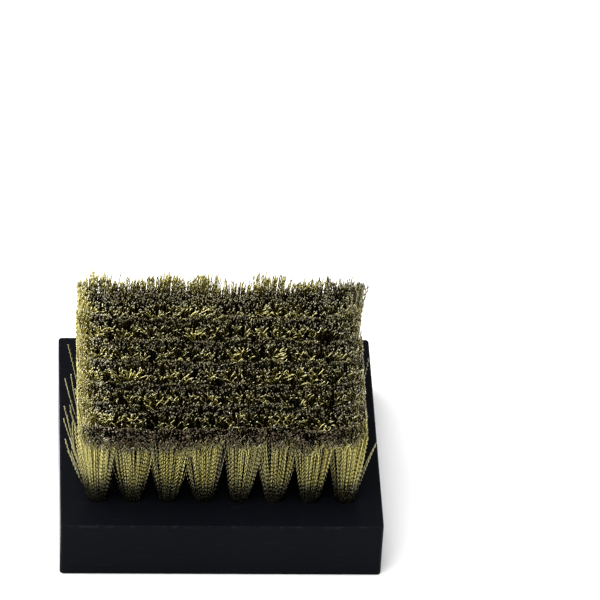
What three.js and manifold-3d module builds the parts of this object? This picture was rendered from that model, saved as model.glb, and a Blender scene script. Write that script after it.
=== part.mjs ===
// A wire-brush tip cleaner for soldering irons: a solid black block that stands on the bench, with rows of
// crimped brass wire tufts in its blind holes.
// Millimetres, +Z up, +X to the right and +Y to the back, seen from the user's side. The origin is on the
// bench, below the middle of the block.

import * as THREE from "three";
import { mergeVertices } from "three/addons/utils/BufferGeometryUtils.js";
import Module from "manifold-3d";

const wasm = await Module();
wasm.setup();

// Driving dimensions
const WIDTH = 50; // of the block, along X
const DEPTH = 45; // of the block, along Y
const HEIGHT = 10; // from the bench to the block's top
const BRISTLE = 14; // how far the tufts stand above the block
const COLUMNS = 8;
const ROWS = 7;

// The block
const CORNER = 0.6; // radius of the four upright edges
const EDGE = 0.25; // bevel round the top and the bottom

// The holes and the tufts
const PITCH_X = 5.5; // between holes
const PITCH_Y = 5.1;
const HOLE_R = 1.6;
const HOLE_DEPTH = 7;
const ROOT_R = 1.5; // of a tuft where it leaves its hole
const HOLE_FLOOR_GAP = 0.1;
const SIDES = 12;
const TIP_PITCH_X = 5.65; // between the tufts' ends, which lean outwards a little
const TIP_PITCH_Y = 5.33;
const TIP_GAP = 0.3; // between neighbours' ends
const MEET = 10; // height above the block where a tuft has spread as far as its neighbours
const SQUARENESS = 4; // exponent of a spread tuft's outline: 2 is round, and more is squarer

const TIP = HEIGHT + BRISTLE;

const blackPlastic = new THREE.MeshStandardMaterial({ color: 0x14151a, roughness: 0.32, metalness: 0 });
const brassWire = new THREE.MeshStandardMaterial({ color: 0xa59a4e, roughness: 0.4, metalness: 1 });

// A rectangle with round corners, centred on the origin.
function roundedRectangle(width, depth, radius) {
  const x = width / 2 - radius;
  const y = depth / 2 - radius;
  const outline = new THREE.Shape();
  outline.absarc(x, y, radius, 0, Math.PI / 2);
  outline.absarc(-x, y, radius, Math.PI / 2, Math.PI);
  outline.absarc(-x, -y, radius, Math.PI, 1.5 * Math.PI);
  outline.absarc(x, -y, radius, 1.5 * Math.PI, 2 * Math.PI);
  return outline;
}

function toSolid(geometry) {
  const bare = geometry.clone().deleteAttribute("normal").deleteAttribute("uv");
  const merged = mergeVertices(bare, 1e-4);
  return new wasm.Manifold(
    new wasm.Mesh({
      numProp: 3,
      vertProperties: merged.getAttribute("position").array,
      triVerts: new Uint32Array(merged.getIndex().array),
    }),
  );
}

function toGeometry(solid) {
  const { vertProperties, triVerts } = solid.getMesh();
  const geometry = new THREE.BufferGeometry();
  geometry.setAttribute("position", new THREE.BufferAttribute(vertProperties, 3));
  geometry.setIndex(new THREE.BufferAttribute(triVerts, 1));
  geometry.computeVertexNormals();
  return geometry;
}

// The places of the tufts, row 1 at the front and column 1 on the left. root is where a tuft leaves its
// hole, and tip is the middle of its trimmed end.
function tuftPlaces() {
  const places = [];
  for (let row = 0; row < ROWS; row++) {
    for (let column = 0; column < COLUMNS; column++) {
      const across = column - (COLUMNS - 1) / 2;
      const back = row - (ROWS - 1) / 2;
      places.push({
        name: `tuft_row${row + 1}_col${column + 1}`,
        root: new THREE.Vector2(across * PITCH_X, back * PITCH_Y),
        tip: new THREE.Vector2(across * TIP_PITCH_X, back * TIP_PITCH_Y),
      });
    }
  }
  return places;
}

// The block: bevelled top and bottom, with a blind hole for each tuft.
function brushBlock(places) {
  const slab = new THREE.ExtrudeGeometry(roundedRectangle(WIDTH, DEPTH, CORNER), {
    depth: HEIGHT - 2 * EDGE,
    curveSegments: 3,
    bevelSize: EDGE,
    bevelThickness: EDGE,
    bevelOffset: -EDGE,
    bevelSegments: 1,
  });
  slab.translate(0, 0, EDGE);
  let block = toSolid(slab);

  const open = 1; // the cutters pass this far through the block's top
  for (const { root } of places) {
    const hole = new THREE.CylinderGeometry(HOLE_R, HOLE_R, HOLE_DEPTH + open, SIDES);
    hole.rotateX(Math.PI / 2);
    hole.translate(root.x, root.y, HEIGHT - HOLE_DEPTH / 2 + open / 2);
    block = block.subtract(toSolid(hole));
  }
  return new THREE.Mesh(toGeometry(block), blackPlastic);
}

// One tuft: round in its hole, then spreading and leaning until it meets its neighbours.
function tuft({ root, tip }) {
  const foot = HEIGHT - HOLE_DEPTH + HOLE_FLOOR_GAP;
  const profile = [
    [0, foot],
    [1, foot],
    [1, HEIGHT],
    [1, HEIGHT + MEET / 2],
    [1, HEIGHT + MEET],
    [1, TIP],
    [0, TIP],
  ].map(([r, z]) => new THREE.Vector2(r, z));
  const geometry = new THREE.LatheGeometry(profile, SIDES);
  geometry.rotateX(Math.PI / 2); // the lathe's own axis is Y, and the profile's heights are now Z

  const halfX = (TIP_PITCH_X - TIP_GAP) / 2;
  const halfY = (TIP_PITCH_Y - TIP_GAP) / 2;
  const position = geometry.getAttribute("position");
  for (let i = 0; i < position.count; i++) {
    const x = position.getX(i);
    const y = position.getY(i);
    const z = position.getZ(i);
    const spread = THREE.MathUtils.clamp((z - HEIGHT) / MEET, 0, 1);
    const lean = THREE.MathUtils.clamp((z - HEIGHT) / BRISTLE, 0, 1);
    const exponent = THREE.MathUtils.lerp(2, SQUARENESS, spread);
    const angle = Math.atan2(y, x);
    const outline = Math.hypot(x, y)
      / (Math.abs(Math.cos(angle)) ** exponent + Math.abs(Math.sin(angle)) ** exponent) ** (1 / exponent);
    position.setXYZ(
      i,
      THREE.MathUtils.lerp(root.x, tip.x, lean)
        + outline * Math.cos(angle) * THREE.MathUtils.lerp(ROOT_R, halfX, spread),
      THREE.MathUtils.lerp(root.y, tip.y, lean)
        + outline * Math.sin(angle) * THREE.MathUtils.lerp(ROOT_R, halfY, spread),
      z,
    );
  }
  geometry.computeVertexNormals();
  return new THREE.Mesh(geometry, brassWire);
}

const cleaner = new THREE.Group();

function add(name, mesh) {
  mesh.name = name;
  cleaner.add(mesh);
}

const places = tuftPlaces();
add("brush_block", brushBlock(places));
for (const place of places) {
  add(place.name, tuft(place));
}

export default cleaner;
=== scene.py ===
# The looks of a wire-brush tip cleaner: a black plastic block with rows of crimped brass wire tufts.
# Metres, +X to the right, +Y to the back, +Z up, with the block standing on the floor at the origin.

import math
from types import SimpleNamespace

import bmesh
import bpy
import numpy as np
from mathutils import Matrix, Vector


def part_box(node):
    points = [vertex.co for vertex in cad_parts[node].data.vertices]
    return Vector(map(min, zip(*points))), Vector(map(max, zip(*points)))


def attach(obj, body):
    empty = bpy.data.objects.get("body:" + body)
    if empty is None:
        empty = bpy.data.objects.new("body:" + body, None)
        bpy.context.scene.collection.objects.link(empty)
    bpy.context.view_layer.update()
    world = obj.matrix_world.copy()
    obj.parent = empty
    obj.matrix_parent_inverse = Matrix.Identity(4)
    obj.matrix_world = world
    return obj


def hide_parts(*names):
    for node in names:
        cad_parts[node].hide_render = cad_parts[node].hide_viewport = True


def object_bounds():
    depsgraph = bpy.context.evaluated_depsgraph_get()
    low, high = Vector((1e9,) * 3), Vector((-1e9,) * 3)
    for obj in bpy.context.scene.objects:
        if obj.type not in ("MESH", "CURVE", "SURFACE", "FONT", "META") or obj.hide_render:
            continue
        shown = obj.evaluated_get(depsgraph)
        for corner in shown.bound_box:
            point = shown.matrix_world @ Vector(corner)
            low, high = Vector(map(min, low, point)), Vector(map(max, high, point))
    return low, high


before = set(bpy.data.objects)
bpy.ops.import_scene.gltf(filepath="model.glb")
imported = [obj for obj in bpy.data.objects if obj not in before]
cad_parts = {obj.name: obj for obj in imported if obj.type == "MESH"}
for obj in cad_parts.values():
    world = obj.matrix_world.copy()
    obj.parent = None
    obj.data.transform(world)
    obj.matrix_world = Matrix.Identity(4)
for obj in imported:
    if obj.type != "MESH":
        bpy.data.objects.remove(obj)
cad_box = [list(corner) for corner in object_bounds()]

MM = 0.001
BODY = "root"
Z = 2  # index of the height in a point
SAME_HEIGHT = 0.01 * MM

# The camera looks at the origin, and is then moved aside and up without turning.
AZIMUTH = -4.68  # degrees
ELEVATION = 39.82
ROLL = 3.43
DISTANCE = 0.808
ASIDE = 0.01337
ABOVE = 0.02825
LENS = 305.2  # mm, on a sensor of SENSOR mm
SENSOR = 36

# The block
CORNER = 0.6 * MM  # radius of the upright edges
EDGE = 0.25 * MM  # radius of the top and bottom edges
HOLE_R = 1.6 * MM
HOLE_SIDES = 48
HOLE_FLOOR_GAP = 0.1 * MM  # between the floor of a hole and its tuft
MOUTH_BEVEL = 0.12 * MM
CORNER_STEPS = 8
EDGE_STEPS = 5

# The anchors, which are short pieces of flat wire
ANCHOR_SHARE = 0.16  # of a hole's radius, kept free for the anchor on each side of its middle
ANCHOR_THICK = 0.45 * MM
ANCHOR_TALL = 1.4 * MM
ANCHOR_GAP = 0.1 * MM  # how much shorter it is than the hole is wide
ANCHOR_BEVEL = 0.1 * MM

# The wires. A hairpin is one wire folded in half, with two ends.
ROWS = 7
COLUMNS = 8
HAIRPINS = 66  # in an inner tuft
EDGE_HAIRPINS = 96  # in a tuft at the front or at a side
BACK_HAIRPINS = 150  # in a tuft of the back row
DISC_POINTS = 2.4  # in a whole disc, for each one that the kept part of its back half takes
CROWDING = 0.5  # below 0.5, the wires crowd to the outside of their tuft
EDGE_CROWDING = 0.42
WIRE_R = 0.095 * MM  # of a four-sided tube, which is about as thick as a round wire of 0.16 mm
END_SLOPE = 0.2  # how far a cut end is off level
CLUMPS = 9  # bunches of wires in a tuft
CLUMP_PULL = 0.12  # share of the way from a wire's place to the middle of its clump

# The crimps
CRIMP_LENGTH = 0.9 * MM
CRIMP_HEIGHT = 0.12 * MM  # to either side
LEAST_CRIMP = 0.4  # share of that height, for crimps that zigzag in Y
STRAY_CRIMP = 0.5  # share of that height, for stray wires
CRIMPS_SEEN = 4 * MM  # how far down the crimps of the inner tufts are modelled
PLANE_BY_CLUMP = 0.35  # noise of the direction in which the crimps zigzag, in radians
PLANE_NOISE = 0.2
PHASE_NOISE = 0.35  # of the crimps, in radians
PHASE_SPAN = (3.5, 2.3)  # times as much where they zigzag in Y, and how much less where they do in X
PHASE_DRIFT = 2.6  # how far the crimps of neighbours drift apart along the wire
DRIFT_START = 0.45  # share of the height where they are level

# The points of a wire
STEP = CRIMP_LENGTH / 4
ROOT_HEIGHT = 1.1 * MM  # of the lowest point of a wire of full length above the block
ROOT_STEPS = 0.3 * MM  # height over which the lowest points of a short wire are spread
ROOT_NOISE = 0.1 * MM
STRAIGHT_STEPS = 8  # below the crimps of the inner tufts
FOLD_STEPS = 4

# The spread of the tips
SQUARENESS = 2.7  # of the outline of a tuft's tips, where 2 is round
SPREAD_NOISE = (0.13, 0.26)  # in X and Y, as a share of a tuft's half size
TUFT_SHIFT = 0.25 * MM  # noise of a whole tuft's place
FILL = np.array([0.5, 0.1]) * MM  # how far tufts spread past their CAD solids, in X and Y
ROW_FILL = {1: 0.25 * MM, ROWS: 0.45 * MM}  # more, in X, in the front and the back row
FLARE = 0.55  # below 1, the wires part low down
ROW_FLARE = {1: 0.85, ROWS: 0.5}  # in the front and the back row
LEAN_NOISE = 0.05  # of that parting
BOW = 0.10 * MM  # noise of the wires' middles
RIGHT_TAPER = 0.6 * MM  # how much narrower the field is at the front
WILD_SHARE = 0.05  # of the wires, which lean any way
WILD_LEAN = 0.6 * MM

# The tops of the tufts
WORN = 0.6 * MM  # how far the middle is worn down
LENGTH_NOISE = 0.07 * MM
CLUMP_LIFT = 0.12 * MM  # noise of a clump's height
LONGEST = 0.35 * MM  # how far a wire may pass the top of the CAD model
SHORTEST = -3 * MM  # how far it may end below the worn middle
DOME = np.array([0.5, 1.1]) * MM  # how far the edges of a worn tuft are below its middle, in X and Y
FLAT_TOP = 0.4  # of a tuft's half size, before it slopes down
SLOPE_END = 1.3  # of the way from there to the tuft's edge, where the slope ends
SLOPE_CURVE = 1.3
FRONT_DROP = 0.2  # of that slope, along the front of the brush
FACING_RISE = 2.6  # how soon the front slope of a tuft sets in, towards its front
FACING_START = 0.4
BACK_FACING_START = 1.1  # in the back row
FACING_BY_CLUMP = (0.6, 1.1)
FACING_BY_TUFT = (0.75, 1.05)
BEND_LENGTH = 1.0 * MM  # of the worn tips
BEND_CURVE = 1.5
BEND_RANGE = 1.3  # times the next two values, at most, to either side
BEND = 0.06 * MM
FRONT_BEND = 0.92 * MM  # more, on the front slope of each tuft
BEND_AXES = (1, 0.5)  # share of a bend in X and Y

# The rim and the back row
RIM = 2.6 * MM  # width of the rim of clean, less worn wires at the sides and the back
RIM_RISE = 0.8 * MM
BACK_LIFT = 0.3 * MM  # noise of the back rim's height
BACK_SPLAY = 1.2 * MM  # how far the back rim splays to the back
PEAK_SPLAY = 1.7 * MM  # further, for its peaks
PEAK_SHARE = 0.25  # of the back row's clumps, which are peaks
PEAK_SIZE = (0.3, 1)
SPLAY_NOISE = 0.1 * MM
SPLAY_RISE = 2  # how soon the splay sets in, towards the back
SPLAY_START = 0.6
BACK_CROSS = 0.3 * MM  # noise of the back row's lean to either side
BACK_LEAN = 0.6 * MM  # how far the back rim leans to the right
BACK_CROWD = 4 * MM  # how strongly the tips of the back row crowd to the back
BACK_ZONE = 4.5 * MM  # from the back, where they do

# The strays, which are wires of the outer columns that stick out over the block
STRAYS = {(1, 1): 5, (2, 1): 3, (3, 1): 3, (4, 1): 2, (5, 1): 1, (1, 8): 2}  # by row and column
STRAY_CHOICE = 4  # outer wires, for each one picked from them
STRAY_REACH = (22.9 * MM, 24.8 * MM)  # from the middle of the brush
STRAY_LEAN = (0, 2 * MM)  # to the front
STRAY_DROP = (0.5 * MM, 3.5 * MM)
STRAY_DIRT = 0.55

# The tone of the brass, from 0 for dull to 1 for bright, raised as painted light at the left, in the back
# row and on the front slopes
TONE = (0, 0.6)
LEFT_LIT_TONE = (0.5, 1)  # in the tufts at the left, raised as painted light
BACK_LIT_TONE = (0.3, 0.7)  # in the back row, raised as painted light
TONE_CURVE = 1.5  # above 1, more wires are dull
SLOPE_LIT_TONE = 0.65  # more, as painted light on the front slopes behind the first row

# The stain of old solder and flux, from 0 to 1, and of burnt tips along the front, with painted shade deep
# in the field, at the roots and on the tufts at the right
CLEAN_RIM = 2.0 * MM  # width of the part of the rim with no stain, at the sides
CLEAN_BACK = 1.1 * MM  # and at the back
SOILED_OVER = 0.7 * MM  # further in, where the stain sets in
FLUX_BY_CLUMP = (0.7, 1.15)
FLUX_NOISE = 0.1
TIP_FLUX = 0.75
DEEP_SHADE = 0.2  # more, as painted shade deeper down among the wires
SHADE_DEPTH = 1.0 * MM
SLOPE_LIT_SHARE = 0.85  # share of the stain that the front slopes lack, as painted light on them
BURNT_DEPTH = 1.6 * MM
BURNT_BY_CLUMP = (0.1, 2)
BURNT_BY_WIRE = (0.7, 1.1)
BURNT_RISE = 1.5  # how soon it sets in from the sides
BURNT_FADE = 1.4
RIGHT_SHADE = 0.7  # painted shade on the tufts at the right
RIGHT_BY_CLUMP = (0.6, 1.2)
ROOT_SHADE = 5.6 * MM  # how far up the roots are darkened with painted shade
ROOT_SPAN = (0.75, 0.5)  # of that, where the crimps zigzag in Y, and how much more where they do in X
ROOT_SHADE_NOISE = 0.5 * MM
ROOT_DARK = 0.85
ROOT_FADE = 2.2
RIDGE_GLINT = 0.1  # less painted shade, as painted glints on the outer ridges of the crimps
RIDGE_FROM = 0.3  # of the dirty height

BLOCK_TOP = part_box("brush_block")[1].z
TIP_TOP = cad_box[1][Z]
PLACES = [(row, column) for row in range(1, ROWS + 1) for column in range(1, COLUMNS + 1)]


def tuft_name(row, column):
    return f"tuft_row{row}_col{column}"


def section(node, height):
    """The middle and the half size, in X and Y, of a CAD tuft at a height where it has vertices."""
    points = np.array([v.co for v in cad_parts[node].data.vertices])
    ring = points[np.abs(points[:, Z] - height) < SAME_HEIGHT]
    low, high = ring.min(0)[:Z], ring.max(0)[:Z]
    return (low + high) / 2, (high - low) / 2


def link(name, data):
    piece = bpy.data.objects.new(name, data)
    bpy.context.scene.collection.objects.link(piece)
    return piece


# ---- shader helpers ----

def new_material(name, metallic=0):
    material = bpy.data.materials.new(name)
    material.use_nodes = True
    nodes, links = material.node_tree.nodes, material.node_tree.links
    shader = nodes["Principled BSDF"]
    shader.inputs["Metallic"].default_value = metallic
    return material, shader, nodes, links


def ramp(nodes, links, value, span, result):
    """A smooth change between two results, as a value crosses a span. Returns its output socket."""
    step = nodes.new("ShaderNodeMapRange")
    step.interpolation_type = "SMOOTHSTEP"
    for key, number in zip(("From Min", "From Max", "To Min", "To Max"), (*span, *result)):
        step.inputs[key].default_value = number
    links.new(value, step.inputs["Value"])
    return step.outputs["Result"]


def combine(nodes, links, operation, a, b):
    """The output socket of a math node that combines two sockets, or a socket and a number."""
    node = nodes.new("ShaderNodeMath")
    node.operation = operation
    links.new(a, node.inputs[0])
    if isinstance(b, (int, float)):
        node.inputs[1].default_value = b
    else:
        links.new(b, node.inputs[1])
    return node.outputs[0]


def grain(nodes, links, scale, detail, stretch=(1, 1, 1)):
    """The output socket of a noise in the object's own space."""
    place = nodes.new("ShaderNodeTexCoord")
    mapping = nodes.new("ShaderNodeMapping")
    mapping.inputs["Scale"].default_value = stretch
    noise = nodes.new("ShaderNodeTexNoise")
    noise.inputs["Scale"].default_value = scale
    noise.inputs["Detail"].default_value = detail
    links.new(place.outputs["Object"], mapping.inputs["Vector"])
    links.new(mapping.outputs["Vector"], noise.inputs["Vector"])
    return noise.outputs["Fac"]


def point_value(nodes, name):
    """The output socket of a value that is stored at the points of a mesh."""
    attribute = nodes.new("ShaderNodeAttribute")
    attribute.attribute_name = name
    return attribute.outputs["Fac"]


def mix_colour(nodes, links, factor, a, b):
    """A mix of two colours, each a socket or a tuple, by a factor socket. Returns its output socket."""
    mix = nodes.new("ShaderNodeMix")
    mix.data_type = "RGBA"
    links.new(factor, mix.inputs["Factor"])
    for key, colour in (("A", a), ("B", b)):
        socket = next(s for s in mix.inputs if s.name == key and s.type == "RGBA")
        if isinstance(colour, tuple):
            socket.default_value = (*colour, 1)
        else:
            links.new(colour, socket)
    return next(s for s in mix.outputs if s.type == "RGBA")


# ---- camera, light and floor ----

# The world's light, as the span of a direction's X, Y or Z over which it changes, and its strengths there
LEFT_GLOW = ((-0.85, -0.35), (1.5, 0))
BACK_GLOW = ((-0.8, 0.8), (0.03, 0.4))
TOP_GLOW = ((0.3, 1), (0, 0.55))
FLOOR_HALF = 6.0
FLOOR_COLOUR = (0.93, 0.93, 0.93, 1)


def rotation(degrees, axis):
    return Matrix.Rotation(math.radians(degrees), 4, axis)


def make_camera():
    data = bpy.data.cameras.new("camera")
    data.sensor_width = SENSOR
    data.lens = LENS
    camera = link("camera", data)
    turn = rotation(AZIMUTH, "Z") @ rotation(90 - ELEVATION, "X") @ rotation(ROLL, "Z")
    camera.matrix_world = turn @ Matrix.Translation((ASIDE, ABOVE, DISTANCE))
    bpy.context.scene.camera = camera


def make_light(name, angle, strength, azimuth, elevation):
    """A distant disc of light, angle degrees across, in a direction as seen from the object."""
    data = bpy.data.lights.new(name, "SUN")
    data.angle = math.radians(angle)
    data.energy = strength
    light = link(name, data)
    light.matrix_world = rotation(azimuth, "Z") @ rotation(90 - elevation, "X")


def make_world():
    """Soft light from the left, from above and behind, and little from the front."""
    world = bpy.data.worlds.new("studio")
    world.use_nodes = True
    nodes, links = world.node_tree.nodes, world.node_tree.links
    place = nodes.new("ShaderNodeTexCoord")
    split = nodes.new("ShaderNodeSeparateXYZ")
    links.new(place.outputs["Generated"], split.inputs[0])

    back = ramp(nodes, links, split.outputs["Y"], *BACK_GLOW)
    top = ramp(nodes, links, split.outputs["Z"], *TOP_GLOW)
    left = ramp(nodes, links, split.outputs["X"], *LEFT_GLOW)
    light = combine(nodes, links, "ADD", combine(nodes, links, "ADD", back, top), left)
    background = nodes["Background"]
    background.inputs["Color"].default_value = (1, 1, 1, 1)
    links.new(light, background.inputs["Strength"])
    bpy.context.scene.world = world


def make_floor():
    mesh = bpy.data.meshes.new("floor")
    corners = [(x * FLOOR_HALF, y * FLOOR_HALF, 0) for x, y in ((-1, -1), (1, -1), (1, 1), (-1, 1))]
    mesh.from_pydata(corners, [], [(0, 1, 2, 3)])
    paint, shader, _, _ = new_material("floor_paint")
    shader.inputs["Base Color"].default_value = FLOOR_COLOUR
    shader.inputs["Roughness"].default_value = 0.9
    shader.inputs["Specular IOR Level"].default_value = 0.1
    mesh.materials.append(paint)
    link("floor", mesh)


make_camera()
make_light("key", angle=80, strength=4.2, azimuth=265, elevation=66)
make_light("front_left", angle=60, strength=0.8, azimuth=310, elevation=42)
make_world()
make_floor()
bpy.context.scene.view_settings.view_transform = "Standard"


# ---- materials ----

DULL_BRASS = (0.36, 0.32, 0.09)
BRIGHT_BRASS = (0.74, 0.68, 0.28)
# the colour of the stain and of the painted shade
STAIN_AND_SHADE_COLOUR = (0.138, 0.136, 0.122)
TARNISH = (0.30, 0.26, 0.10)
BURNT = (0.07, 0.045, 0.025)
BURNT_STAIN = (0.85, 1)  # stain and painted shade over which a wire turns burnt
DULL_CUT = (0.045, 0.043, 0.034)
BRIGHT_CUT = (0.56, 0.54, 0.42)
CUT_TONE = (0.2, 1.2)  # tone, with its painted light, over which a cut end turns bright
DARK_PLASTIC = (0.0022, 0.0026, 0.0038)
LIGHT_PLASTIC = (0.0036, 0.0042, 0.006)
RUBBED_PLASTIC = (0.010, 0.0105, 0.012)
DARK_ANCHOR = (0.45, 0.36, 0.14)
LIGHT_ANCHOR = (0.66, 0.56, 0.27)
MIDDLE = (0.3, 0.7)  # span of a noise that most of its values lie in
CHIPS = (0.5, 0.62)  # span of a noise over which an edge turns chipped
SCRATCHES = (0.66, 0.70)  # span of a noise over which the plastic turns scratched
EDGE_WEAR = (0.05 * MM, 0.45 * MM)  # distance from an edge over which its wear fades


def brass_material():
    """Brass wire, from dull to bright by its tone and painted light, darkened by stain and painted shade,
    with patches of tarnish and burnt tips.
    """
    material, shader, nodes, links = new_material("crimped_brass", metallic=1)
    stain_and_shade = point_value(nodes, "stain_and_shade")
    brass = mix_colour(nodes, links, point_value(nodes, "tone_and_light"), DULL_BRASS, BRIGHT_BRASS)
    soiled_and_shaded = mix_colour(nodes, links, stain_and_shade, brass, STAIN_AND_SHADE_COLOUR)
    patchy = ramp(nodes, links, grain(nodes, links, scale=700, detail=4), MIDDLE, (0, 0.35))
    tarnished = mix_colour(nodes, links, patchy, soiled_and_shaded, TARNISH)
    burnt = ramp(nodes, links, stain_and_shade, BURNT_STAIN, (0, 0.8))
    links.new(mix_colour(nodes, links, burnt, tarnished, BURNT), shader.inputs["Base Color"])
    rough = ramp(nodes, links, grain(nodes, links, scale=2500, detail=2), MIDDLE, (0.25, 0.37))
    links.new(rough, shader.inputs["Roughness"])
    return material


def cut_material():
    """The cut ends of the wires, dull to bright by tone and painted light, and burnt where the stain and
    painted shade run high.
    """
    material, shader, nodes, links = new_material("cut_brass", metallic=1)
    shader.inputs["Roughness"].default_value = 0.45
    bright = ramp(nodes, links, point_value(nodes, "tone_and_light"), CUT_TONE, (0, 1))
    brass = mix_colour(nodes, links, bright, DULL_CUT, BRIGHT_CUT)
    burnt = ramp(nodes, links, point_value(nodes, "stain_and_shade"), BURNT_STAIN, (0, 0.95))
    links.new(mix_colour(nodes, links, burnt, brass, BURNT), shader.inputs["Base Color"])
    return material


def from_edges(nodes, links):
    """The output socket of a point's distance from the nearest edge of the block, in metres."""
    low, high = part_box("brush_block")
    place = nodes.new("ShaderNodeTexCoord")
    split = nodes.new("ShaderNodeSeparateXYZ")
    links.new(place.outputs["Object"], split.inputs[0])
    gaps = []
    for axis, start, end in zip("XYZ", low, high):
        along = combine(nodes, links, "SUBTRACT", split.outputs[axis], (start + end) / 2)
        size = nodes.new("ShaderNodeMath")
        size.operation = "ABSOLUTE"
        links.new(along, size.inputs[0])
        inward = combine(nodes, links, "MULTIPLY", size.outputs[0], -1)
        gaps.append(combine(nodes, links, "ADD", inward, (end - start) / 2))
    nearer = combine(nodes, links, "MINIMUM", gaps[0], gaps[1])
    farther = combine(nodes, links, "MAXIMUM", gaps[0], gaps[1])
    return combine(nodes, links, "MAXIMUM", nearer, combine(nodes, links, "MINIMUM", farther, gaps[2]))


def plastic_material():
    """Black moulded plastic, with a fine grain, faint scratches and slightly rubbed edges."""
    material, shader, nodes, links = new_material("black_plastic")
    cloudy = grain(nodes, links, scale=60, detail=6)
    colour = mix_colour(nodes, links, cloudy, DARK_PLASTIC, LIGHT_PLASTIC)
    near_edge = ramp(nodes, links, from_edges(nodes, links), EDGE_WEAR, (1, 0))
    chipped = ramp(nodes, links, grain(nodes, links, scale=900, detail=5), CHIPS, (0.15, 1))
    worn = combine(nodes, links, "MULTIPLY", near_edge, chipped)
    streaks = grain(nodes, links, scale=220, detail=3, stretch=(1, 14, 14))
    scratch = ramp(nodes, links, streaks, SCRATCHES, (0, 0.35))
    rubbed = combine(nodes, links, "MAXIMUM", worn, scratch)
    links.new(mix_colour(nodes, links, rubbed, colour, RUBBED_PLASTIC), shader.inputs["Base Color"])
    polish = ramp(nodes, links, grain(nodes, links, scale=150, detail=6), MIDDLE, (0.14, 0.26))
    rough = combine(nodes, links, "ADD", polish, combine(nodes, links, "MULTIPLY", rubbed, 0.2))
    links.new(rough, shader.inputs["Roughness"])
    shader.inputs["Specular IOR Level"].default_value = 0.02
    bump = nodes.new("ShaderNodeBump")
    bump.inputs["Strength"].default_value = 0.25
    bump.inputs["Distance"].default_value = 0.01 * MM
    links.new(grain(nodes, links, scale=5000, detail=3), bump.inputs["Height"])
    links.new(bump.outputs["Normal"], shader.inputs["Normal"])
    return material


def anchor_material():
    material, shader, nodes, links = new_material("anchor_brass", metallic=1)
    brass = mix_colour(nodes, links, grain(nodes, links, scale=900, detail=3), DARK_ANCHOR, LIGHT_ANCHOR)
    links.new(brass, shader.inputs["Base Color"])
    drawn = grain(nodes, links, scale=4000, detail=3, stretch=(1, 8, 8))
    links.new(ramp(nodes, links, drawn, MIDDLE, (0.28, 0.45)), shader.inputs["Roughness"])
    return material


BRASS = brass_material()
CUT_BRASS = cut_material()
PLASTIC = plastic_material()
ANCHOR_METAL = anchor_material()


# ---- wires ----
# The arrays of a tuft's wires have a row for each hairpin and a column for each of its two arms.

def half_disc(count, crowding, random):
    """Spread points on the back half of a unit disc, clear of its middle by ANCHOR_SHARE."""
    golden = math.pi * (3 - math.sqrt(5))
    i = np.arange(3 * count)  # more points than are kept
    angle = i * golden + random.uniform(0, 2 * math.pi)
    radius = ((i + 0.5) / (DISC_POINTS * count)) ** crowding
    points = radius[:, None] * np.stack([np.cos(angle), np.sin(angle)], 1)
    points = points[points[:, 1] > ANCHOR_SHARE][:count]
    return points / np.linalg.norm(points, axis=1).max()


def squared(points, exponent):
    """Points of the unit disc, spread over a square with round corners."""
    angle = np.arctan2(points[..., 1], points[..., 0])
    stretch = np.abs(np.cos(angle)) ** exponent + np.abs(np.sin(angle)) ** exponent
    return points * (stretch ** (-1 / exponent))[..., None]


def field_corners(row):
    """The front left and the back right corner of the field of tips, which tapers towards the front."""
    first_middle, first_half = section(tuft_name(1, 1), TIP_TOP)
    last_middle, last_half = section(tuft_name(ROWS, COLUMNS), TIP_TOP)
    low, high = first_middle - first_half, last_middle + last_half
    high[0] -= RIGHT_TAPER * (1 - row / ROWS)
    return low, high


def is_outer(row, column):
    """Whether a tuft is at the edge of the brush."""
    return row in (1, ROWS) or column in (1, COLUMNS)


def hairpins(row, column):
    """How many hairpins a tuft has."""
    if row == ROWS:
        return BACK_HAIRPINS
    return EDGE_HAIRPINS if is_outer(row, column) else HAIRPINS


def facing_wires(row, spread, clump, random):
    """How far each wire is on the front slope of its tuft, from 0 to about 1."""
    start = BACK_FACING_START if row == ROWS else FACING_START
    facing = np.clip(-FACING_RISE * spread[..., 1] - start, 0, 1)
    facing *= random.uniform(*FACING_BY_CLUMP, CLUMPS)[clump]
    return facing * random.uniform(*FACING_BY_TUFT)


def splay_back_row(tips, back, rim, clump, random):
    """Crowd the tips of the back row to the back, in place, and say how far their wires splay."""
    near = 1 - np.clip((back - tips[..., 1]) / BACK_ZONE, 0, 1)
    tips[..., 1] += BACK_CROWD * near * (1 - near)
    peak = (random.random(CLUMPS) < PEAK_SHARE)[clump] * random.uniform(*PEAK_SIZE, clump.shape)
    steep = np.clip(SPLAY_RISE * rim - SPLAY_START, 0, 1)
    splay = np.zeros(tips.shape)
    splay[..., 1] = steep * (BACK_SPLAY + PEAK_SPLAY * peak + random.normal(0, SPLAY_NOISE, clump.shape))
    splay[..., 0] = BACK_LEAN * rim + random.normal(0, BACK_CROSS, clump.shape)
    return splay


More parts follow.
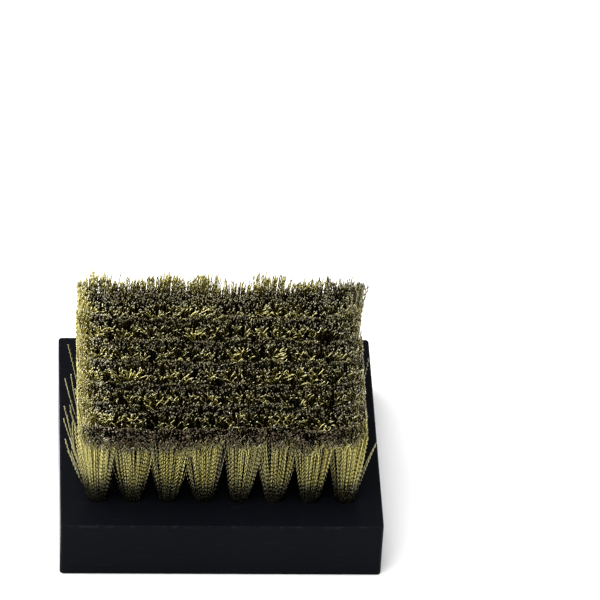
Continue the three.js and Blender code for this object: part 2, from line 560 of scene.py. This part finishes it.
def wire_lines(row, column, random):
    """Where the wires of a tuft start and end, and what follows from their places in tuft and brush."""
    name = tuft_name(row, column)
    crowding = EDGE_CROWDING if is_outer(row, column) else CROWDING
    behind = half_disc(hairpins(row, column), crowding, random)
    unit = np.stack([behind, behind * (1, -1)], 1)
    root_middle, root_half = section(name, BLOCK_TOP)
    tip_middle, tip_half = section(name, TIP_TOP)
    roots = root_middle + unit * (root_half - WIRE_R)

    # the tips close the gap that the anchor leaves between the arms, and bunch into clumps
    closed = unit - np.sign(unit) * (0, ANCHOR_SHARE) * (1 - np.abs(unit))
    spread = squared(closed, SQUARENESS) + random.normal(0, SPREAD_NOISE, unit.shape)
    centres = spread.reshape(-1, 2)[random.choice(spread.size // 2, CLUMPS, replace=False)]
    clump = np.argmin(np.linalg.norm(spread[:, :, None] - centres, axis=-1), axis=-1)
    if row < ROWS:
        spread += CLUMP_PULL * (centres[clump] - spread)
    reach = tip_half + FILL + (ROW_FILL.get(row, 0), 0)
    tips = tip_middle + random.normal(0, TUFT_SHIFT, 2) + spread * reach
    low, high = field_corners(row)
    tips[..., 0] = np.clip(tips[..., 0], low[0], high[0])

    # rim is 1 at the sides and the back of the brush, and drop says how far down its tuft's dome a tip is
    from_side = np.minimum(tips[..., 0] - low[0], high[0] - tips[..., 0])
    from_back = high[1] - tips[..., 1]
    from_front = tips[..., 1] - low[1]
    rim = 1 - np.clip(np.minimum(from_side, from_back) / RIM, 0, 1)
    slope = np.clip((np.abs(spread) - FLAT_TOP) / (1 - FLAT_TOP), 0, SLOPE_END) ** SLOPE_CURVE
    at_front = (row == 1) & (spread[..., 1] < 0)
    drop = (slope @ DOME) * (1 - rim) * np.where(at_front, FRONT_DROP, 1)
    buried = np.minimum(from_side - CLEAN_RIM, np.minimum(from_back - CLEAN_BACK, from_front))
    buried = np.clip(buried / SOILED_OVER, 0, 1)
    facing = facing_wires(row, spread, clump, random)

    splay = np.zeros(tips.shape)
    if row == ROWS:
        splay = splay_back_row(tips, high[1], rim, clump, random)
    wild = random.random(clump.shape) < WILD_SHARE
    tips += random.normal(0, WILD_LEAN, tips.shape) * wild[..., None]

    # the crimps zigzag towards and away from the middle of the tuft
    plane = np.arctan2(unit[..., 1], unit[..., 0])
    plane += random.normal(0, PLANE_BY_CLUMP, CLUMPS)[clump] + random.normal(0, PLANE_NOISE, clump.shape)
    return SimpleNamespace(
        roots=roots, tips=tips, splay=splay, clump=clump, rim=rim, drop=drop, buried=buried, facing=facing,
        plane=plane, sideways=np.abs(np.cos(plane)),
    )


def wire_lengths(row, wires, random):
    """The length of each wire above the block. The rim rises twice as soon in the back row."""
    shape = wires.clump.shape
    rise = np.minimum(2 * wires.rim, 1) if row == ROWS else wires.rim
    lift = random.normal(0, LENGTH_NOISE, shape) + random.normal(0, CLUMP_LIFT, CLUMPS)[wires.clump]
    lift += RIM_RISE * rise - wires.drop
    if row == ROWS:
        lift += random.uniform(-BACK_LIFT, BACK_LIFT, shape) * wires.rim
    return TIP_TOP - BLOCK_TOP - WORN + np.clip(lift, SHORTEST, WORN + LONGEST)


def add_strays(row, column, tips, length, random):
    """Bend a few wires of an outer column out over the block, in place, and say which."""
    stray = np.zeros(length.shape, bool)
    count = STRAYS.get((row, column), 0)
    side = -1 if column == 1 else 1
    outermost = np.argsort(-side * tips[..., 0].ravel())[:STRAY_CHOICE * count]
    for wire in random.permutation(outermost)[:count]:
        hairpin, arm = divmod(wire, 2)
        tips[hairpin, arm, 0] = side * random.uniform(*STRAY_REACH)
        tips[hairpin, arm, 1] -= random.uniform(*STRAY_LEAN)
        length[hairpin, arm] -= random.uniform(*STRAY_DROP)
        stray[hairpin, arm] = True
    return stray


def depths(row, column):
    """Depths of a wire's points below its cut end, deepest first, and close where crimps are modelled."""
    deepest = TIP_TOP - BLOCK_TOP - ROOT_HEIGHT
    if is_outer(row, column):
        return np.arange(int(deepest / STEP), -1, -1) * STEP
    fine = np.arange(int(CRIMPS_SEEN / STEP), -1, -1) * STEP
    return np.concatenate([np.linspace(deepest, fine[0], STRAIGHT_STEPS)[:-1], fine])


def point_heights(below, length, random):
    """Heights above the block of the points of each wire, from their depths below its cut end."""
    lowest = ROOT_STEPS * np.linspace(0.05, 1, len(below))  # apart, so that no two points meet
    return np.maximum(length[..., None] - below, lowest + ROOT_NOISE * random.random((*length.shape, 1)))


def straight_arms(row, wires, share, random):
    """X and Y of the points of each wire before it is crimped, at their shares of its height."""
    shape = wires.clump.shape
    middle = np.sin(math.pi * share)
    lean = share ** ROW_FLARE.get(row, FLARE) + LEAN_NOISE * middle * random.normal(size=(*shape, 1))
    flat = wires.roots[:, :, None] + (wires.tips - wires.roots)[:, :, None] * lean[..., None]
    flat += wires.splay[:, :, None] * share[..., None] ** 2
    return flat + random.normal(0, BOW, (*shape, 1, 2)) * middle[..., None]


def crimp_wave(wires, stray, below, height, share, random):
    """How far the crimps take each point of each wire to either side."""
    first, less = PHASE_SPAN
    phase = PHASE_NOISE * (random.normal(size=CLUMPS)[wires.clump] + random.normal(size=stray.shape))
    phase *= first - less * wires.sideways
    drift = PHASE_DRIFT * random.normal(size=(*stray.shape, 1)) * (share - DRIFT_START)
    crimped = np.gradient(below) > -1.5 * STEP  # where the points are close
    wave = np.sin(2 * math.pi * height / CRIMP_LENGTH + phase[..., None] + drift) * crimped
    size = CRIMP_HEIGHT * (LEAST_CRIMP + (1 - LEAST_CRIMP) * wires.sideways)
    return wave * (size * np.where(stray, STRAY_CRIMP, 1))[..., None]


def tip_bends(wires, depth, random):
    """How far the worn tips are bent off in X and Y, at the points of each wire."""
    bend = np.clip(1 - depth / BEND_LENGTH, 0, 1) ** BEND_CURVE
    most = (BEND + FRONT_BEND * wires.facing)[..., None] * BEND_AXES
    bent = random.uniform(-BEND_RANGE, BEND_RANGE, wires.tips.shape) * most
    return bent[:, :, None] * (bend * (1 - wires.rim[..., None]))[..., None]


def fold_points(row, column, roots):
    """The half circle of each hairpin below its anchor."""
    turn = np.linspace(0, math.pi, FOLD_STEPS + 1)
    middle = roots[..., 1].mean(1)[:, None]
    reach = (roots[:, 0, 1] - roots[:, 1, 1])[:, None] / 2
    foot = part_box(tuft_name(row, column))[0].z + HOLE_R
    return np.stack([
        np.repeat(roots[:, 0, :1], len(turn), 1),
        middle + reach * np.cos(turn),
        foot - reach * np.sin(turn),
    ], -1)


def tip_stain_and_shade(row, column, wires, depth, random):
    """The stain and painted shade from above: flux between the buried wires, painted shade deeper down among
    them, burnt tips at the front and painted shade on the tufts at the right.
    """
    shape = wires.clump.shape
    uneven = random.uniform(*FLUX_BY_CLUMP, CLUMPS)[wires.clump] + random.normal(0, FLUX_NOISE, shape)
    deep = np.clip(depth / SHADE_DEPTH, 0, 1)
    # the front slopes lose most of their stain, as painted light
    soiled_and_shaded = wires.buried * (1 - SLOPE_LIT_SHARE * wires.facing) * uneven
    # flux stain at the tips, with painted shade that grows deeper down among the wires
    darkening = soiled_and_shaded[..., None] * (TIP_FLUX + DEEP_SHADE * deep)
    if row == 1:
        burnt = np.minimum(BURNT_RISE * (1 - wires.rim), 1) * random.uniform(*BURNT_BY_WIRE, shape)
        down_to = BURNT_DEPTH * random.uniform(*BURNT_BY_CLUMP, CLUMPS)[wires.clump]
        fading = np.clip(BURNT_FADE * (1 - depth / down_to[..., None]), 0, 1)
        darkening = np.maximum(darkening, burnt[..., None] * fading)
    darkening = np.clip(darkening, 0, 1)
    # painted shade on the tufts at the right
    if column == COLUMNS and row > 1:
        at_right = RIGHT_SHADE * random.uniform(*RIGHT_BY_CLUMP, CLUMPS)[wires.clump]
        darkening = np.maximum(darkening, at_right[..., None])
    return darkening


def root_shade(wires, height, wave, random):
    """Painted shade from below, reaching higher where the crimps zigzag in X, and lifted on the outer ridges
    of the crimps as painted glints.
    """
    least, more = ROOT_SPAN
    reach = ROOT_SHADE * (least + more * wires.sideways)
    reach = (reach + random.normal(0, ROOT_SHADE_NOISE, reach.shape))[..., None]
    # painted glints: the painted shade is lifted on the crimps' outer ridges
    ridge = RIDGE_GLINT * wave / CRIMP_HEIGHT * (height > RIDGE_FROM * reach)
    return ROOT_DARK * np.clip(ROOT_FADE * (1 - height / reach) - ridge, 0, 1)


def wire_tone_and_light(row, column, facing, random):
    """How bright the brass of each wire is, from 0 to 1, with painted light in the tufts at the left, in the
    back row and on the front slopes.
    """
    # painted light: brighter tones in the tufts at the left and in the back row
    low, high = LEFT_LIT_TONE if column == 1 else BACK_LIT_TONE if row == ROWS else TONE
    # painted light on the front slopes
    more = SLOPE_LIT_TONE * facing if row > 1 else 0
    return np.clip(low + (high - low) * random.random(facing.shape) ** TONE_CURVE + more, 0, 1)


def wire_paths(row, column, random):
    """The middle lines of a tuft's hairpins, (hairpins, points, 3), and their points' stain and painted
    shade, and their tone with painted light.
    """
    wires = wire_lines(row, column, random)
    length = wire_lengths(row, wires, random)
    stray = add_strays(row, column, wires.tips, length, random)
    below = depths(row, column)
    height = point_heights(below, length, random)
    share = height / length[..., None]
    depth = length[..., None] - height

    flat = straight_arms(row, wires, share, random)
    wave = crimp_wave(wires, stray, below, height, share, random)
    flat += wave[..., None] * np.stack([np.cos(wires.plane), np.sin(wires.plane)], -1)[:, :, None]
    flat += tip_bends(wires, depth, random)
    arms = np.concatenate([flat, (BLOCK_TOP + height)[..., None]], -1)
    fold = fold_points(row, column, wires.roots)

    # darkening: flux stain and burnt tips, with painted shade deep in the field, on the tufts at the right
    # and at the roots
    darkening = tip_stain_and_shade(row, column, wires, depth, random)
    darkening[stray] = STRAY_DIRT
    darkening = np.maximum(darkening, root_shade(wires, height, wave, random))
    shine = np.broadcast_to(wire_tone_and_light(row, column, wires.facing, random)[..., None], darkening.shape)

    def along(values, at_fold):
        """Join values at the points of the two arms and of the fold between them."""
        return np.concatenate([values[:, 0, ::-1], at_fold, values[:, 1]], 1)

    # the folds down in the holes get full painted shade
    return along(arms, fold), along(darkening, np.ones(fold.shape[:2])), along(shine, np.zeros(fold.shape[:2]))


def tube_points(paths, radius, random):
    """The corners of four-sided tubes round paths, (tubes, points, 4, 3)."""
    tubes = len(paths)
    ahead = np.diff(paths, axis=1)
    ahead /= np.linalg.norm(ahead, axis=-1, keepdims=True)
    tangent = np.concatenate([ahead[:, :1], ahead[:, :-1] + ahead[:, 1:], ahead[:, -1:]], 1)
    tangent /= np.linalg.norm(tangent, axis=-1, keepdims=True)
    side = np.array([1.0, 0, 0]) - tangent * tangent[..., :1]
    side /= np.linalg.norm(side, axis=-1, keepdims=True)
    other = np.cross(tangent, side)

    # the cut ends are nearly level, and a hairpin goes down from its first end and up to its last
    for end, handed in ((0, -1), (-1, 1)):
        side[:, end] = (1, 0, 0)
        other[:, end] = (0, handed, 0)
        side[:, end, Z] = random.normal(0, END_SLOPE, tubes)
        other[:, end, Z] = random.normal(0, END_SLOPE, tubes)
    angle = random.uniform(0, math.pi / 2, (tubes, 1)) + np.arange(4) * math.pi / 2
    ring = (
        np.cos(angle)[:, None, :, None] * side[:, :, None]
        + np.sin(angle)[:, None, :, None] * other[:, :, None]
    )
    return paths[:, :, None] + radius * ring


def tube_faces(tubes, points):
    """The four-cornered faces of tubes, as the walls and then the two ends of each."""
    start = 4 * (np.arange(tubes)[:, None] * points + np.arange(points - 1))[..., None]
    here, beside = start + np.arange(4), start + np.roll(np.arange(4), -1)
    walls = np.stack([here, beside, beside + 4, here + 4], -1).reshape(-1, 4)
    first = 4 * np.arange(tubes)[:, None] * points + np.arange(4)[::-1]
    last = 4 * (np.arange(tubes)[:, None] * points + points - 1) + np.arange(4)
    return walls, np.concatenate([first, last])


def tube_mesh(name, paths, radius, random, values):
    """One mesh of closed four-sided tubes round paths, with their cut ends in the second material."""
    vertices = tube_points(paths, radius, random)
    walls, ends = tube_faces(*paths.shape[:2])
    faces = np.concatenate([walls, ends])
    is_wall = np.arange(len(faces)) < len(walls)

    mesh = bpy.data.meshes.new(name)
    mesh.vertices.add(vertices.size // 3)
    mesh.vertices.foreach_set("co", vertices.astype(np.float32).ravel())
    mesh.loops.add(faces.size)
    mesh.loops.foreach_set("vertex_index", faces.astype(np.int32).ravel())
    mesh.polygons.add(len(faces))
    mesh.polygons.foreach_set("loop_start", np.arange(0, faces.size, 4, dtype=np.int32))
    mesh.polygons.foreach_set("use_smooth", is_wall)
    mesh.polygons.foreach_set("material_index", (~is_wall).astype(np.int32))
    mesh.update(calc_edges=True)
    for key, value in values.items():
        attribute = mesh.attributes.new(key, "FLOAT", "POINT")
        attribute.data.foreach_set("value", np.repeat(value.ravel(), 4).astype(np.float32))
    return mesh


def add_tuft(row, column):
    """The wires of one tuft, in place of its CAD solid."""
    random = np.random.default_rng(100 * row + column)
    paths, stain_and_shade, tone_and_light = wire_paths(row, column, random)
    name = tuft_name(row, column)
    mesh = tube_mesh("wires_" + name, paths, WIRE_R, random, {"tone_and_light": tone_and_light, "stain_and_shade": stain_and_shade})
    mesh.materials.append(BRASS)
    mesh.materials.append(CUT_BRASS)
    piece = link(mesh.name, mesh)
    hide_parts(name)
    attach(piece, BODY)


for place in PLACES:
    add_tuft(*place)


# ---- block and anchors ----

def rounded_outline(half_x, half_y, radius, height):
    """Corners of a level rectangle with round corners, counterclockwise."""
    corners = []
    for quarter, (side_x, side_y) in enumerate(((1, 1), (-1, 1), (-1, -1), (1, -1))):
        for i in range(CORNER_STEPS + 1):
            angle = (quarter + i / CORNER_STEPS) * math.pi / 2
            x = (half_x - radius) * side_x + radius * math.cos(angle)
            y = (half_y - radius) * side_y + radius * math.sin(angle)
            corners.append((x, y, height))
    return corners


def lofted(name, loops):
    """A closed mesh through level loops of corners, lowest first."""
    shape = bmesh.new()
    rings = [[shape.verts.new(corner) for corner in loop] for loop in loops]
    for lower, upper in zip(rings, rings[1:]):
        for i in range(len(lower)):
            j = (i + 1) % len(lower)
            shape.faces.new((lower[i], lower[j], upper[j], upper[i]))
    shape.faces.new(rings[0][::-1])
    shape.faces.new(rings[-1])
    mesh = bpy.data.meshes.new(name)
    shape.to_mesh(mesh)
    shape.free()
    return mesh


def block_mesh():
    """The block with all its edges rounded, before the holes are cut."""
    low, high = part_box("brush_block")
    loops = []
    for i in range(EDGE_STEPS + 1):
        angle = i / EDGE_STEPS * math.pi / 2
        inset, rise = EDGE * (1 - math.sin(angle)), EDGE * (1 - math.cos(angle))
        loops.append(rounded_outline(high.x - inset, high.y - inset, CORNER - inset, low.z + rise))
    top = [[(x, y, low.z + high.z - z) for x, y, z in loop] for loop in reversed(loops)]
    return lofted("block_body", loops + top)


def hole_cutters():
    """One mesh of the shapes of all the holes, each with a slightly wider mouth."""
    joined = bmesh.new()
    turns = np.arange(HOLE_SIDES) * 2 * math.pi / HOLE_SIDES
    for row, column in PLACES:
        name = tuft_name(row, column)
        (x, y), _ = section(name, BLOCK_TOP)
        profile = (
            (HOLE_R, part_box(name)[0].z - HOLE_FLOOR_GAP),
            (HOLE_R, BLOCK_TOP - MOUTH_BEVEL),
            (HOLE_R + 2 * MOUTH_BEVEL, BLOCK_TOP + MOUTH_BEVEL),
        )
        cutter = lofted("cutter", [
            [(x + radius * math.cos(turn), y + radius * math.sin(turn), height) for turn in turns]
            for radius, height in profile
        ])
        joined.from_mesh(cutter)
        bpy.data.meshes.remove(cutter)
    mesh = bpy.data.meshes.new("hole_cutters")
    joined.to_mesh(mesh)
    joined.free()
    return mesh


def add_block():
    block = link("block_body", block_mesh())
    cutter = link("hole_cutters", hole_cutters())
    cut = block.modifiers.new("holes", "BOOLEAN")
    cut.operation = "DIFFERENCE"
    cut.solver = "EXACT"
    cut.object = cutter
    bpy.context.view_layer.update()
    depsgraph = bpy.context.evaluated_depsgraph_get()
    finished = bpy.data.meshes.new_from_object(block.evaluated_get(depsgraph))
    block.modifiers.clear()
    block.data = finished
    bpy.data.objects.remove(cutter)
    finished.materials.clear()
    finished.materials.append(PLASTIC)
    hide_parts("brush_block")
    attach(block, BODY)


def add_anchors():
    """All the anchors as one piece: a short flat wire across each hole, inside the folds of the wires."""
    shape = bmesh.new()
    size = Matrix.Diagonal((2 * HOLE_R - ANCHOR_GAP, ANCHOR_THICK, ANCHOR_TALL, 1))
    for row, column in PLACES:
        name = tuft_name(row, column)
        middle, _ = section(name, BLOCK_TOP)
        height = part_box(name)[0].z + HOLE_R
        bar = bmesh.ops.create_cube(shape, matrix=Matrix.Translation((*middle, height)) @ size)
        edges = list({edge for corner in bar["verts"] for edge in corner.link_edges})
        bmesh.ops.bevel(shape, geom=edges, offset=ANCHOR_BEVEL, segments=2, affect="EDGES")
    mesh = bpy.data.meshes.new("tuft_anchors")
    shape.to_mesh(mesh)
    shape.free()
    mesh.materials.append(ANCHOR_METAL)
    piece = link("tuft_anchors", mesh)
    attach(piece, BODY)


add_block()
add_anchors()
